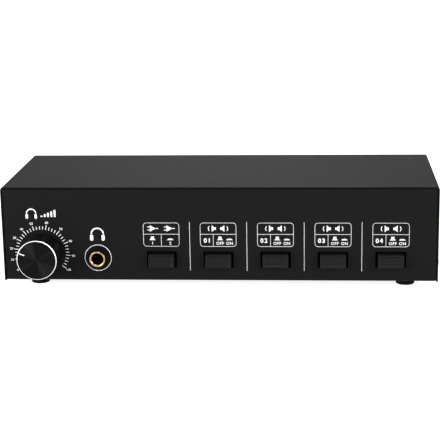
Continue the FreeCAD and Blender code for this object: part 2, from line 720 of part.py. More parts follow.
# ---------------------------------------------------------------- headphone jack
def make_jack():
    """Jack on the board: housing, gilt ferrule through the panel, and a round nut."""
    axis = ("jack_x", "jack_z")
    housing = box("JackBlank", ("jack_x - jack_width/2", "jack_x + jack_width/2"),
                  ("front_inside", "front_inside + jack_deep"), ("board_top", "2*jack_z - board_top"))
    seat = rod("JackSeat", "y", "jack_ferrule_radius + thread_play", "front_inside - past",
               "front_inside + jack_ferrule_in", axis)
    tunnel = rod("JackTunnel", "y", "jack_bore + jack_room", "front_inside - past",
                 "front_inside + jack_deep - jack_end_wall", axis)
    keep("jack_housing", cut("Jack", housing, seat, tunnel))

    blank = rod("FerruleBlank", "y", "jack_ferrule_radius", "ferrule_end",
                "front_inside + jack_ferrule_in", axis)
    bore = rod("FerruleBore", "y", "jack_bore", "ferrule_end - past",
               "front_inside + jack_ferrule_in + past", axis)
    tube = cut("FerruleTube", blank, bore)
    keep("jack_ferrule", chamfer("Ferrule", tube, "jack_chamfer", at_depth("ferrule_end")))

    nut_front = "front_face - jack_nut_thick"
    ring = rod("JackNutRing", "y", "jack_nut_radius", nut_front, "front_face", axis)
    hole = rod("JackNutHole", "y", "jack_ferrule_radius + thread_play", nut_front + " - past",
               "front_face + past", axis)
    keep("jack_nut", cut("JackNut", ring, hole))


# ---------------------------------------------------------------- loudspeaker terminals
def block_spots():
    """Name, middle across and row of each terminal block."""
    return [(name, "%d*block_pitch" % (1 - column), row)
            for row, names in ROWS for column, name in enumerate(names)]


# Places across a block of its poles, in the order of POLES
POLE_PLACES = ["%g*pole_pitch" % ((len(POLES) - 1) / 2 - place) for place in range(len(POLES))]


def pole_spots():
    """Name, middle across and row of each lever."""
    return [("%s_%s" % (name, pole), "%s + %s" % (across, place), row)
            for name, across, row in block_spots() for place, pole in zip(POLE_PLACES, POLES)]


def make_terminals():
    """Six snap-in spring terminal blocks, each with four contact clips and four levers."""
    block = terminal_block()
    keep("terminal_blocks", copies("TerminalBlocks", block,
                                   [(across, "0", row) for _, across, row in block_spots()]))
    clip = contact_clip()
    keep("contact_clips", copies("ContactClips", clip,
                                 [(across, "0", row) for _, across, row in pole_spots()]))
    lever = terminal_lever()
    for name, across, row in pole_spots():
        keep(name + "_lever", copies(name + "_Lever", lever, [(across, "0", row)]))


def terminal_block():
    """Moulded block: flange, body with a chamber for each pole, lever windows, wire holes and lugs."""
    body = new_body("TerminalBlock")
    side = sketch_on(body, "BlockSide", "YZ_Plane")
    top = "block_tall/2"
    outline(side, [("block_end", "-(%s)" % top), ("block_face - block_slope", "-(%s)" % top),
                   ("block_face", "-block_slope_drop"), ("block_face", top), ("block_end", top)])
    pad(body, "BlockBody", side, "block_wide", both_ways=True)
    flange = sketch_on(body, "BlockFlange", "XZ_Plane", offset="-flange_face")
    corners = []
    for across, up in ((-1, -1), (1, -1), (1, 1), (-1, 1)):
        at_side = ("%d*flange_wide/2" % across, "%d*(flange_tall/2 - flange_corner)" % up)
        at_end = ("%d*(flange_wide/2 - flange_corner)" % across, "%d*flange_tall/2" % up)
        corners += [at_side, at_end] if across == up else [at_end, at_side]
    outline(flange, corners)
    pad(body, "Flange", flange, "flange_thick")

    lugs = sketch_on(body, "BlockLugs", "XY_Plane")
    for sign in (-1, 1):
        outline(lugs, [("%d*block_wide/2" % sign, "rear_inside - block_play"),
                       ("%d*(block_wide/2 + lug_out)" % sign, "rear_inside - block_play"),
                       ("%d*block_wide/2" % sign, "rear_inside - block_play - lug_long")])
    pad(body, "Lugs", lugs, "lug_tall", both_ways=True)

    chambers = sketch_on(body, "Chambers", "XZ_Plane", offset="-block_end")
    for place in POLE_PLACES:
        rectangle(chambers, place, "(bay_top - chamber_low)/2", "lever_wide + 2*lever_play",
                  "bay_top + chamber_low")
    cut_chambers = pocket(body, "ChamberCuts", chambers, "against_normal")
    cut_chambers.Type = "Length"
    cut_chambers.setExpression("Length", full("block_face - block_wall - block_end"))
    openings = sketch_on(body, "FaceOpenings", "XZ_Plane")
    for place in POLE_PLACES:
        rectangle(openings, place, "(bay_top - bay_low)/2", "lever_wide + 2*lever_play", "bay_top + bay_low")
        rectangle(openings, place, "-port_drop", "port_side", "port_side")
    pocket(body, "FaceCuts", openings, "against_normal")
    return body


def contact_clip():
    """A strip from its solder tail in the terminal board, folded back up under the heel of the lever."""
    body = new_body("ContactClip")
    side = sketch_on(body, "ClipSide", "YZ_Plane")
    tail = "terminal_board_face - clip_tail"
    low, high = "-clip_drop - clip_thick/2", "-clip_drop + clip_thick/2"
    fold = "rear_face + clip_reach"
    tip = "lever_pivot_up - lever_heel - clip_gap"
    outline(side, [(tail, low), (fold, low), ("pivot_y", tip), ("pivot_y - clip_thick", tip),
                   (fold + " - 2*clip_thick", high), (tail, high)])
    pad(body, "ClipStrip", side, "clip_wide", both_ways=True)
    return body


def terminal_lever():
    """A key-shaped lever with a round heel about its pivot, a tapering body and a lipped tip."""
    body = new_body("Lever")
    side = sketch_on(body, "LeverSide", "YZ_Plane")
    crown, heel = "lever_pivot_up + lever_heel", "lever_pivot_up - lever_heel"
    rest = crown + " - lever_lip"
    corners = [("pivot_y", heel), ("lever_end", crown + " - lever_tip"), ("lever_end", crown),
               ("lever_end - lever_lip_long", crown), ("lever_end - lever_lip_long - lever_lip", rest),
               ("block_face + lever_lip", rest), ("block_face - lever_lip", crown),
               ("pivot_y - lever_heel/2", crown), ("pivot_y - lever_heel", "lever_pivot_up")]
    points = [Vector(value(across), value(up), 0) for across, up in corners]
    for number in range(len(points) - 1):
        side.addGeometry(Part.LineSegment(points[number], points[number + 1]), False)
    middle = (value("pivot_y - lever_heel*cos(45)"), value("lever_pivot_up - lever_heel*cos(45)"))
    arc = side.addGeometry(Part.Arc(points[-1], Vector(*middle, 0), points[0]), False)
    for number in range(len(points) - 2):
        side.addConstraint(Sketcher.Constraint("Coincident", number, 2, number + 1, 1))
    last = len(points) - 2
    side.addConstraint(Sketcher.Constraint("Coincident", last, 2, arc, 1))
    side.addConstraint(Sketcher.Constraint("Coincident", arc, 2, 0, 1))
    for number, (across, up) in enumerate(corners[:-1]):
        pin(side, number, 1, across, up)
    pin(side, last, 2, *corners[-1])
    pin(side, arc, 3, "pivot_y")
    pad(body, "LeverBody", side, "lever_wide", both_ways=True)
    return body


# ---------------------------------------------------------------- build and write
def check(part):
    """Stops if an object failed or its shape is empty or broken."""
    if "Invalid" in part.State or "Error" in part.State:
        raise RuntimeError("%s failed: %s" % (part.Label, part.State))
    if hasattr(part, "Shape") and part in pieces and (part.Shape.isNull() or not part.Shape.isValid()):
        raise RuntimeError("%s has no valid shape" % part.Label)


make_chassis()
make_cover()
make_cover_screws()
make_feet()
make_boards()
make_link_bars()
make_switches()
make_volume()
make_jack()
make_terminals()
document.recompute()
for item in document.Objects:
    check(item)
os.makedirs("parts", exist_ok=True)
for piece in pieces:
    piece.Shape.exportStep(os.path.join("parts", piece.Label + ".step"))
print("%d pieces, %d solids" % (len(pieces), sum(len(piece.Shape.Solids) for piece in pieces)))
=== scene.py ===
"""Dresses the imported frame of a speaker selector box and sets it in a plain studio.

The frame holds every structural and moving piece. Added here are the finishes, the print on the front and
the rear, the turned knob and its pointer, coil springs, screw heads, rubber feet, the threaded ferrule and
the grip ribs of the terminal levers. Print and small parts are laid out in millimetres across and up, as seen
from the front, and turned into metres once.
"""
import math

import bmesh
import bpy
from mathutils import Matrix, Vector


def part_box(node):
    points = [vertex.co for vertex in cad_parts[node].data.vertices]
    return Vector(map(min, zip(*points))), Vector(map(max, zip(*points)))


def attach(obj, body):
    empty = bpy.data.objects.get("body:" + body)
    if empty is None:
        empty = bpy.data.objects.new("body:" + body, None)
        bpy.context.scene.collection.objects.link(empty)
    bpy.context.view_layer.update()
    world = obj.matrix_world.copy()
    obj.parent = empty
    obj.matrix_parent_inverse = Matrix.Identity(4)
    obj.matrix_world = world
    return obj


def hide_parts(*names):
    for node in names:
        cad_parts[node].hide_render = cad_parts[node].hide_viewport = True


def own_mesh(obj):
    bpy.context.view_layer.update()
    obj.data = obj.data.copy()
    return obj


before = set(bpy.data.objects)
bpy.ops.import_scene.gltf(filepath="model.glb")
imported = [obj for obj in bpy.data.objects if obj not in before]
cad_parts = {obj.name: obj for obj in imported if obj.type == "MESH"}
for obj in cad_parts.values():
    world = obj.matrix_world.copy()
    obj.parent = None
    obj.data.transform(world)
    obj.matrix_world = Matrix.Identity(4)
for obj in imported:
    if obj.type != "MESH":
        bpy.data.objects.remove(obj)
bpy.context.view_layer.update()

MM = 0.001
TURN = 2 * math.pi
SWITCHES = ["input", "output_1", "output_2", "output_3", "output_4"]
LEVERS = sorted(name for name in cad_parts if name.endswith("_lever"))


# ---------------------------------------------------------------- places taken from the frame
def middle(node):
    """The middle of a node, in millimetres."""
    low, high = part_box(node)
    return (low + high) / 2 / MM


def low_corner(node):
    """The lowest corner of a node, in millimetres."""
    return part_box(node)[0] / MM


def high_corner(node):
    """The highest corner of a node, in millimetres."""
    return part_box(node)[1] / MM


PANEL = low_corner("chassis").y
DIAL = middle("volume_knob")
JACK = middle("jack_ferrule")
BUTTONS = [middle(name + "_button") for name in SWITCHES]

# ---------------------------------------------------------------- mesh helpers
# Before edges are rounded, points closer than this are joined, and so are faces flatter than this angle.
WELD_DISTANCE = 0.002
FLAT_ANGLE = 0.5
EDGE_STEPS = 2


def add_object(name, data):
    """A new object in the scene."""
    obj = bpy.data.objects.new(name, data)
    bpy.context.scene.collection.objects.link(obj)
    return obj


def finished_mesh(name, mesh_code):
    """A mesh from mesh code, which is then freed."""
    mesh = bpy.data.meshes.new(name)
    mesh_code.to_mesh(mesh)
    mesh_code.free()
    return mesh


def shaped_mesh(obj):
    """A new mesh of an object as its modifiers or its curve settings shape it."""
    shaped = obj.evaluated_get(bpy.context.evaluated_depsgraph_get())
    return bpy.data.meshes.new_from_object(shaped)


def piece(name, mesh_code, body, finish, smooth_angle=40):
    """Turns mesh code into an object that rides on a body; finish is one material or a list."""
    bmesh.ops.recalc_face_normals(mesh_code, faces=mesh_code.faces)
    mesh = finished_mesh(name, mesh_code)
    mesh.polygons.foreach_set("use_smooth", [True] * len(mesh.polygons))
    mesh.set_sharp_from_angle(angle=math.radians(smooth_angle))
    for material in finish if isinstance(finish, list) else [finish]:
        mesh.materials.append(material)
    obj = add_object(name, mesh)
    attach(obj, body)
    return obj


def soften(obj, width, angle=35):
    """Rounds edges sharper than an angle by a width in millimetres."""
    weld = obj.modifiers.new("weld", "WELD")
    weld.merge_threshold = WELD_DISTANCE * MM
    flat = obj.modifiers.new("flatten", "DECIMATE")
    flat.decimate_type = "DISSOLVE"
    flat.angle_limit = math.radians(FLAT_ANGLE)
    bevel = obj.modifiers.new("edges", "BEVEL")
    bevel.width = width * MM
    bevel.segments = EDGE_STEPS
    bevel.limit_method = "ANGLE"
    bevel.angle_limit = math.radians(angle)
    bevel.harden_normals = True


def ring(mesh_code, centre, side, other, radius, steps):
    """A ring of points about a centre, in the plane of two directions."""
    turns = [TURN * number / steps for number in range(steps)]
    return [mesh_code.verts.new((centre + (side * math.cos(turn) + other * math.sin(turn)) * radius) * MM)
            for turn in turns]


def join_rings(mesh_code, near, far):
    """Faces between two matching rings of points."""
    for number in range(len(near)):
        after = (number + 1) % len(near)
        mesh_code.faces.new([near[number], near[after], far[after], far[number]])


def prism(mesh_code, near, far):
    """A solid between two matching rings of corners."""
    mesh_code.faces.new(near)
    mesh_code.faces.new(far)
    join_rings(mesh_code, near, far)


def lathe(mesh_code, profile, foot, axis, steps, closed=False, marks=None):
    """Turns a profile of (along, radius) points about an axis from its foot.

    Where closed is set, the last point joins the first. marks gives the number of each band's material.
    """
    axis = Vector(axis).normalized()
    side = axis.orthogonal().normalized()
    other = axis.cross(side)
    rings = []
    for along, radius in profile:
        centre = Vector(foot) + axis * along
        if radius == 0:
            rings.append([mesh_code.verts.new(centre * MM)] * steps)
        else:
            rings.append(ring(mesh_code, centre, side, other, radius, steps))
    pairs = list(zip(rings, rings[1:]))
    if closed:
        pairs.append((rings[-1], rings[0]))
    for band, (near, far) in enumerate(pairs):
        for number in range(steps):
            after = (number + 1) % steps
            corners = [near[number], near[after], far[after], far[number]]
            corners = [corner for place, corner in enumerate(corners) if corner not in corners[:place]]
            face = mesh_code.faces.new(corners)
            face.material_index = marks[band] if marks else 0
    return mesh_code


def arc(centre, radius, start, end, steps):
    """Points along an arc, angles in degrees anticlockwise from the right."""
    turns = [math.radians(start + (end - start) * number / steps) for number in range(steps + 1)]
    return [(centre[0] + radius * math.cos(turn), centre[1] + radius * math.sin(turn)) for turn in turns]


def rounded_box(left, right, low, high, corner, steps=6):
    """A rectangle with round corners, anticlockwise."""
    spots = [((right - corner, high - corner), 0), ((left + corner, high - corner), 90),
             ((left + corner, low + corner), 180), ((right - corner, low + corner), 270)]
    return [point for spot, start in spots for point in arc(spot, corner, start, start + 90, steps)]


# ---------------------------------------------------------------- print
# Print reaches this far under the face that carries it, and stands this far above it.
PRINT_SUNK = 0.02
PRINT_PROUD = 0.04
LETTER_STEPS = 3


def panel_points(mesh_code, outline, level):
    """The outline's points at a level above the face of the front panel."""
    return [mesh_code.verts.new((across * MM, (PANEL - level) * MM, up * MM)) for across, up in outline]


def print_shape(mesh_code, outline):
    """A flat printed shape with the given outline."""
    back = panel_points(mesh_code, outline, -PRINT_SUNK)
    front = panel_points(mesh_code, outline, PRINT_PROUD)
    prism(mesh_code, back, front)


def print_band(mesh_code, inner, outer, closed=True):
    """A printed line between two matching rows of points."""
    back_in, back_out, front_in, front_out = [
        panel_points(mesh_code, outline, level) for level in (-PRINT_SUNK, PRINT_PROUD)
        for outline in (inner, outer)]
    sides = ((back_in, back_out), (front_in, front_out), (back_in, front_in), (back_out, front_out))
    count = len(inner)
    for number in range(count if closed else count - 1):
        after = (number + 1) % count
        for one, two in sides:
            mesh_code.faces.new([one[number], one[after], two[after], two[number]])
    if not closed:
        for end in (0, count - 1):
            mesh_code.faces.new([back_in[end], back_out[end], front_out[end], front_in[end]])


def print_bar(mesh_code, left, right, low, high):
    """A printed rectangle."""
    print_shape(mesh_code, [(left, low), (right, low), (right, high), (left, high)])


def print_arc(mesh_code, centre, radius, line, start, end, steps=16):
    """A printed arc, or a full circle from 0 to 360 degrees."""
    closed = end - start == 360
    inner = arc(centre, radius - line / 2, start, end, steps)
    outer = arc(centre, radius + line / 2, start, end, steps)
    if closed:
        inner.pop()
        outer.pop()
    print_band(mesh_code, inner, outer, closed)


def print_words(mesh_code, text, tall, centre, weight, spacing=1.0):
    """Lettering of a given height about a middle; weight thickens its strokes, spacing parts its letters."""
    curve = bpy.data.curves.new("lettering", "FONT")
    curve.body = text
    curve.offset = weight
    curve.space_character = spacing
    curve.extrude = (PRINT_PROUD + PRINT_SUNK) / 2
    curve.resolution_u = LETTER_STEPS
    sign = add_object("lettering", curve)
    mesh = shaped_mesh(sign)
    spots = [vertex.co for vertex in mesh.vertices]
    low = Vector((min(spot.x for spot in spots), min(spot.y for spot in spots), 0))
    high = Vector((max(spot.x for spot in spots), max(spot.y for spot in spots), 0))
    size = tall / (high.y - low.y)
    level = PANEL - (PRINT_PROUD - PRINT_SUNK) / 2
    place = Matrix.Translation(Vector((centre[0], level, centre[1])) * MM)
    upright = Matrix.Rotation(math.pi / 2, 4, "X")
    scale = Matrix.Diagonal((size * MM, size * MM, MM, 1))
    mesh.transform(place @ upright @ scale @ Matrix.Translation(-(low + high) / 2))
    mesh_code.from_mesh(mesh)
    bpy.data.objects.remove(sign)
    bpy.data.curves.remove(curve)
    bpy.data.meshes.remove(mesh)


# ---------------------------------------------------------------- signs, in shares of their own height
SIGN_LINE = 0.1

HEADBAND_RADIUS = 0.42
HEADBAND_DROP = 0.02
CUP_APART = 0.4
CUP_HALF = 0.11
CUP_FOOT = -0.48
CUP_TOP = -0.06
CUP_CORNER = 0.08

BAR_COUNT = 5
BAR_FIRST = -0.95
BAR_PITCH = 0.42
BAR_WIDE = 0.23
BAR_FOOT = -0.45
BAR_LOWEST = -0.27
BAR_GROWTH = 0.18

LOUDSPEAKER = [(-0.52, -0.17), (-0.3, -0.17), (0.02, -0.45), (0.02, 0.45), (-0.3, 0.17), (-0.52, 0.17)]
WAVE_MIDDLE = 0.04
WAVE_RADIUS = 0.42

AMPLIFIER = [(-0.4, -0.45), (0.4, 0), (-0.4, 0.45)]
# Lines into and out of the amplifier: left, right, low and high.
AMPLIFIER_LINES = [(0.42, 0.75, -0.06, 0.06), (-0.75, -0.42, -0.27, -0.17), (-0.75, -0.42, 0.17, 0.27)]

# The two button signs are in millimetres.
BUTTON_OUT = [(-1.6, 0), (1.6, 0), (1.2, 0.62), (0.85, 0.62), (0.85, 2.0), (-0.85, 2.0), (-0.85, 0.62),
              (-1.2, 0.62)]
BUTTON_IN_RADIUS = 1.7
BUTTON_IN_RISE = 0.5


def sign_outline(outline, centre, tall, facing=1):
    """An outline at its size and place; facing is -1 for a sign that looks left."""
    across, up = centre
    return [(across + facing * tall * x, up + tall * y) for x, y in outline]


def headphone_sign(mesh_code, centre, tall):
    """A headband with two ear cups."""
    across, up = centre
    band_middle = (across, up - tall * HEADBAND_DROP)
    print_arc(mesh_code, band_middle, tall * HEADBAND_RADIUS, tall * SIGN_LINE, 0, 180, steps=20)
    for side in (-1, 1):
        cup = across + side * tall * CUP_APART
        outline = rounded_box(cup - tall * CUP_HALF, cup + tall * CUP_HALF, up + tall * CUP_FOOT,
                              up + tall * CUP_TOP, tall * CUP_CORNER, steps=4)
        print_shape(mesh_code, outline)


def volume_sign(mesh_code, centre, tall):
    """Bars that grow to the right."""
    across, up = centre
    for number in range(BAR_COUNT):
        left = across + tall * (BAR_PITCH * number + BAR_FIRST)
        print_bar(mesh_code, left, left + tall * BAR_WIDE, up + tall * BAR_FOOT,
                  up + tall * (BAR_GROWTH * number + BAR_LOWEST))


def loudspeaker_sign(mesh_code, centre, tall, facing=1):
    """A loudspeaker from the side with a sound wave."""
    across, up = centre
    print_shape(mesh_code, sign_outline(LOUDSPEAKER, centre, tall, facing))
    wave_middle = (across + facing * tall * WAVE_MIDDLE, up)
    start = -45 if facing > 0 else 135
    print_arc(mesh_code, wave_middle, tall * WAVE_RADIUS, tall * SIGN_LINE, start, start + 90)


def amplifier_sign(mesh_code, centre, tall):
    """A triangle that points right, with a line out and two lines in."""
    across, up = centre
    print_shape(mesh_code, sign_outline(AMPLIFIER, centre, tall))
    for left, right, low, high in AMPLIFIER_LINES:
        print_bar(mesh_code, across + tall * left, across + tall * right, up + tall * low, up + tall * high)


def button_out_sign(mesh_code, centre):
    """A button standing on its base."""
    print_shape(mesh_code, sign_outline(BUTTON_OUT, centre, 1))


def button_in_sign(mesh_code, centre):
    """A button pushed in, a low dome."""
    across, up = centre
    dome = arc((across, 0), BUTTON_IN_RADIUS, 0, 180, 16)
    print_shape(mesh_code, [(x, up + BUTTON_IN_RISE * y) for x, y in dome])


# ---------------------------------------------------------------- print round the dial and the jack
# Angles in degrees, anticlockwise from the right.
TICK_PITCH = 7.12
TICK_FIRST = 214.9
TICK_INNER = 13.3
TICK_SHORT = 15.1
TICK_LONG = 15.9
TICK_WIDE = 0.38
TICKS_PER_NUMBER = [3] * 5 + [4] * 5
NUMBER_STEP = 10
NUMBER_RADIUS = 17.4
NUMBER_TALL = 1.35

JACK_RING = 7.35
JACK_RING_LINE = 0.33

# Signs over the dial and the jack, from the middle of each. The dial's two give their place and height.
DIAL_SIGNS_UP = 22.4
DIAL_HEADPHONE = (-5.2, 6.2)
DIAL_VOLUME = (4.2, 4.4)
JACK_SIGN_UP = 13.6
JACK_SIGN_TALL = 8.0


def dial_print():
    """Ticks and plain numbers from 0 to 100 round the volume knob."""
    marks = bmesh.new()
    centre = Vector((DIAL.x, DIAL.z))
    numbered = [sum(TICKS_PER_NUMBER[:count]) for count in range(len(TICKS_PER_NUMBER) + 1)]
    for tick in range(sum(TICKS_PER_NUMBER) + 1):
        turn = math.radians(TICK_FIRST - TICK_PITCH * tick)
        out = Vector((math.cos(turn), math.sin(turn)))
        side = Vector((-out.y, out.x)) * TICK_WIDE / 2
        end = TICK_LONG if tick in numbered else TICK_SHORT
        corners = [out * TICK_INNER - side, out * end - side, out * end + side, out * TICK_INNER + side]
        print_shape(marks, [tuple(centre + corner) for corner in corners])
        if tick in numbered:
            number = str(NUMBER_STEP * numbered.index(tick))
            print_words(marks, number, NUMBER_TALL, tuple(centre + out * NUMBER_RADIUS), weight=0.01)
    piece("dial_scale", marks, "case", ink())


def jack_print():
    """The circle round the headphone jack."""
    marks = bmesh.new()
    print_arc(marks, (JACK.x, JACK.z), JACK_RING, JACK_RING_LINE, 0, 360, steps=72)
    piece("jack_circle", marks, "case", ink())


def control_signs():
    """Signs over the dial and over the jack."""
    signs = bmesh.new()
    for sign, (across, tall) in ((headphone_sign, DIAL_HEADPHONE), (volume_sign, DIAL_VOLUME)):
        sign(signs, (DIAL.x + across, DIAL.z + DIAL_SIGNS_UP), tall)
    headphone_sign(signs, (JACK.x, JACK.z + JACK_SIGN_UP), JACK_SIGN_TALL)
    piece("control_signs", signs, "case", ink())


# ---------------------------------------------------------------- print over the buttons
LABEL_WIDE = 19.9
LABEL_LOW = 25.1
LABEL_HIGH = 38.6
LABEL_SPLIT = 32.1
LABEL_CORNER = 1.8
LABEL_LINE = 0.2
SEPARATOR_LOW = 11.4
SEPARATOR_HIGH = 39.0
SEPARATOR_LINE = 0.21

UPPER_ROW = (LABEL_SPLIT + LABEL_HIGH) / 2
LOWER_ROW = (LABEL_LOW + LABEL_SPLIT) / 2
SIGN_ROW = LABEL_LOW + 3.7
WORD_ROW = LABEL_LOW + 1.9
WORD_TALL = 1.7

# Places across, from the middle of each button.
AMPLIFIER_ACROSS = 4.6
AMPLIFIER_TALL = 4.0
INPUT_ACROSS = 4.9
LOUDSPEAKER_ACROSS = 3.4
LOUDSPEAKER_TALL = 4.2
OUTPUT_SPLIT = -2.7
OUTPUT_NUMBER_ACROSS = -6.3
OUTPUT_NUMBER_TALL = 2.6
OFF_ACROSS = 1.0
ON_ACROSS = 6.2


def label_frame(mesh_code, across, split):
    """A round-cornered frame with one line across and one down from it."""
    left = across - LABEL_WIDE / 2
    right = across + LABEL_WIDE / 2
    line = LABEL_LINE
    outer = rounded_box(left, right, LABEL_LOW, LABEL_HIGH, LABEL_CORNER)
    inner = rounded_box(left + line, right - line, LABEL_LOW + line, LABEL_HIGH - line, LABEL_CORNER - line)
    print_band(mesh_code, inner, outer)
    print_bar(mesh_code, left + line, right - line, LABEL_SPLIT - line / 2, LABEL_SPLIT + line / 2)
    print_bar(mesh_code, across + split - line / 2, across + split + line / 2, LABEL_LOW + line,
              LABEL_SPLIT - line / 2)


def input_label(frames, signs, across):
    """Two amplifiers, and under each a button sign with its number."""
    label_frame(frames, across, 0)
    for side in (-1, 1):
        amplifier_sign(signs, (across + side * AMPLIFIER_ACROSS, UPPER_ROW), AMPLIFIER_TALL)
    for side, sign, number in ((-1, button_out_sign, "1"), (1, button_in_sign, "2")):
        sign(signs, (across + side * INPUT_ACROSS, SIGN_ROW))
        print_words(signs, number, WORD_TALL, (across + side * INPUT_ACROSS, WORD_ROW), weight=0.01)


def output_label(frames, signs, across, number):
    """Two loudspeakers, the output's number, and OFF and ON under their button signs."""
    label_frame(frames, across, OUTPUT_SPLIT)
    for side in (-1, 1):
        spot = (across + side * LOUDSPEAKER_ACROSS, UPPER_ROW)
        loudspeaker_sign(signs, spot, LOUDSPEAKER_TALL, facing=side)
    print_words(signs, "%02d" % number, OUTPUT_NUMBER_TALL, (across + OUTPUT_NUMBER_ACROSS, LOWER_ROW),
                weight=0.03, spacing=1.3)
    button_out_sign(signs, (across + OFF_ACROSS, SIGN_ROW))
    button_in_sign(signs, (across + ON_ACROSS, SIGN_ROW))
    for word, place in (("OFF", OFF_ACROSS), ("ON", ON_ACROSS)):
        print_words(signs, word, WORD_TALL, (across + place, WORD_ROW), weight=0.015, spacing=1.1)


def label_print():
    """Frames over the buttons, their signs, and lines between the switches."""
    frames = bmesh.new()
    signs = bmesh.new()
    input_label(frames, signs, BUTTONS[0].x)
    for number in range(1, len(BUTTONS)):
        output_label(frames, signs, BUTTONS[number].x, number)
        between = (BUTTONS[number].x + BUTTONS[number - 1].x) / 2
        print_bar(frames, between - SEPARATOR_LINE / 2, between + SEPARATOR_LINE / 2, SEPARATOR_LOW,
                  SEPARATOR_HIGH)
    piece("label_frames", frames, "case", ink())
    piece("label_signs", signs, "case", ink())


# ---------------------------------------------------------------- print on the rear
# Places across are as seen from behind; each column has its upper and its lower block.
REAR_ROWS = (44.3, 20.7)
REAR_COLUMNS = (
    (-113.6, amplifier_sign, ("1", "2")),
    (-37.5, loudspeaker_sign, ("01", "02")),
    (37.5, loudspeaker_sign, ("03", "04")),
)
REAR_SPREAD = 2.6
REAR_NUMBER_TALL = 3.0
REAR_SIGN_TALL = 3.4


def rear_print():
    """Numbers and signs to the left of each block of wire terminals, seen from behind."""
    signs = bmesh.new()
    for across, sign, numbers in REAR_COLUMNS:
        for level, number in zip(REAR_ROWS, numbers):
            print_words(signs, number, REAR_NUMBER_TALL, (across, level + REAR_SPREAD), weight=0.02)
            sign(signs, (across, level - REAR_SPREAD), REAR_SIGN_TALL)
    bmesh.ops.rotate(signs, verts=signs.verts, cent=(0, 0, 0), matrix=Matrix.Rotation(math.pi, 3, "Z"))
    piece("rear_signs", signs, "case", ink())


# ---------------------------------------------------------------- shared effects
# The gloss changes this many times as fast as the tone, and the lumps are this much slower than the grain.
GLOSS_RATE = 7.3
LUMP_RATE = 0.22


def new_group(name, sockets_in, sockets_out):
    """An empty shader group with named sockets: (name, kind, default) in and (name, kind) out."""
    group = bpy.data.node_groups.new(name, "ShaderNodeTree")
    for label, kind, default in sockets_in:
        socket = group.interface.new_socket(label, in_out="INPUT", socket_type=kind)
        socket.default_value = default
    for label, kind in sockets_out:
        group.interface.new_socket(label, in_out="OUTPUT", socket_type=kind)
    source = group.nodes.new("NodeGroupInput")
    result = group.nodes.new("NodeGroupOutput")
    return group, source, result


def feed(tree, given, socket):
    """Gives a socket a number, or links another socket to it."""
    if isinstance(given, (int, float)):
        socket.default_value = given
    else:
        tree.links.new(given, socket)


def cloud(tree, scale, detail):
    """Noise in the object's own space; scale is a socket or a number per metre."""
    place = tree.nodes.new("ShaderNodeTexCoord")
    noise = tree.nodes.new("ShaderNodeTexNoise")
    noise.inputs["Detail"].default_value = detail
    tree.links.new(place.outputs["Object"], noise.inputs["Vector"])
    feed(tree, scale, noise.inputs["Scale"])
    return noise.outputs["Fac"]


def arithmetic(tree, operation, *given):
    """A maths node on sockets or numbers."""
    node = tree.nodes.new("ShaderNodeMath")
    node.operation = operation
    for value, socket in zip(given, node.inputs):
        feed(tree, value, socket)
    return node.outputs[0]


def around(tree, base, noise, spread):
    """The base value, varied by noise from -spread to +spread times itself."""
    swing = arithmetic(tree, "MULTIPLY_ADD", noise, 2.0, -1.0)
    share = arithmetic(tree, "MULTIPLY", swing, spread)
    factor = arithmetic(tree, "ADD", share, 1.0)
    return arithmetic(tree, "MULTIPLY", base, factor)


def mottle_group():
    """Slow changes of tone and gloss over a surface."""
    group, source, result = new_group(
        "surface_mottle",
        [("Colour", "NodeSocketColor", (0.5, 0.5, 0.5, 1)), ("Roughness", "NodeSocketFloat", 0.5),
         ("Scale", "NodeSocketFloat", 40.0), ("Tone spread", "NodeSocketFloat", 0.1),
         ("Gloss spread", "NodeSocketFloat", 0.1)],
        [("Colour", "NodeSocketColor"), ("Roughness", "NodeSocketFloat")])
    scale = source.outputs["Scale"]
    slow = cloud(group, scale, detail=4.0)
    finer = cloud(group, arithmetic(group, "MULTIPLY", scale, GLOSS_RATE), detail=3.0)
    tone = around(group, 1.0, slow, source.outputs["Tone spread"])
    tint = group.nodes.new("ShaderNodeVectorMath")
    tint.operation = "SCALE"
    group.links.new(source.outputs["Colour"], tint.inputs[0])
    group.links.new(tone, tint.inputs["Scale"])
    group.links.new(tint.outputs["Vector"], result.inputs["Colour"])
    rough = around(group, source.outputs["Roughness"], finer, source.outputs["Gloss spread"])
    group.links.new(rough, result.inputs["Roughness"])
    return group


def grain_group():
    """The height of a fine sprayed or moulded grain, with larger soft lumps under it."""
    group, source, result = new_group(
        "fine_grain",
        [("Scale", "NodeSocketFloat", 3000.0), ("Lumps", "NodeSocketFloat", 0.3)],
        [("Height", "NodeSocketFloat")])
    scale = source.outputs["Scale"]
    fine = cloud(group, scale, detail=3.0)
    broad = cloud(group, arithmetic(group, "MULTIPLY", scale, LUMP_RATE), detail=1.0)
    lumps = arithmetic(group, "MULTIPLY", broad, source.outputs["Lumps"])
    group.links.new(arithmetic(group, "ADD", fine, lumps), result.inputs["Height"])
    return group


MOTTLE = mottle_group()
GRAIN = grain_group()


# ---------------------------------------------------------------- finishes
def grey(tone):
    """A colour without hue."""
    return (tone, tone, tone)


def new_finish(name, colour, roughness, metallic=0.0, specular=0.5, coat=0.0):
    """A material whose shader has plain constants; returns it with its tree and shader."""
    material = bpy.data.materials.new(name)
    material.use_nodes = True
    tree = material.node_tree
    shader = tree.nodes["Principled BSDF"]
    shader.inputs["Base Color"].default_value = (*colour, 1)
    shader.inputs["Roughness"].default_value = roughness
    shader.inputs["Metallic"].default_value = metallic
    shader.inputs["Specular IOR Level"].default_value = specular
    shader.inputs["Coat Weight"].default_value = coat
    return material, tree, shader


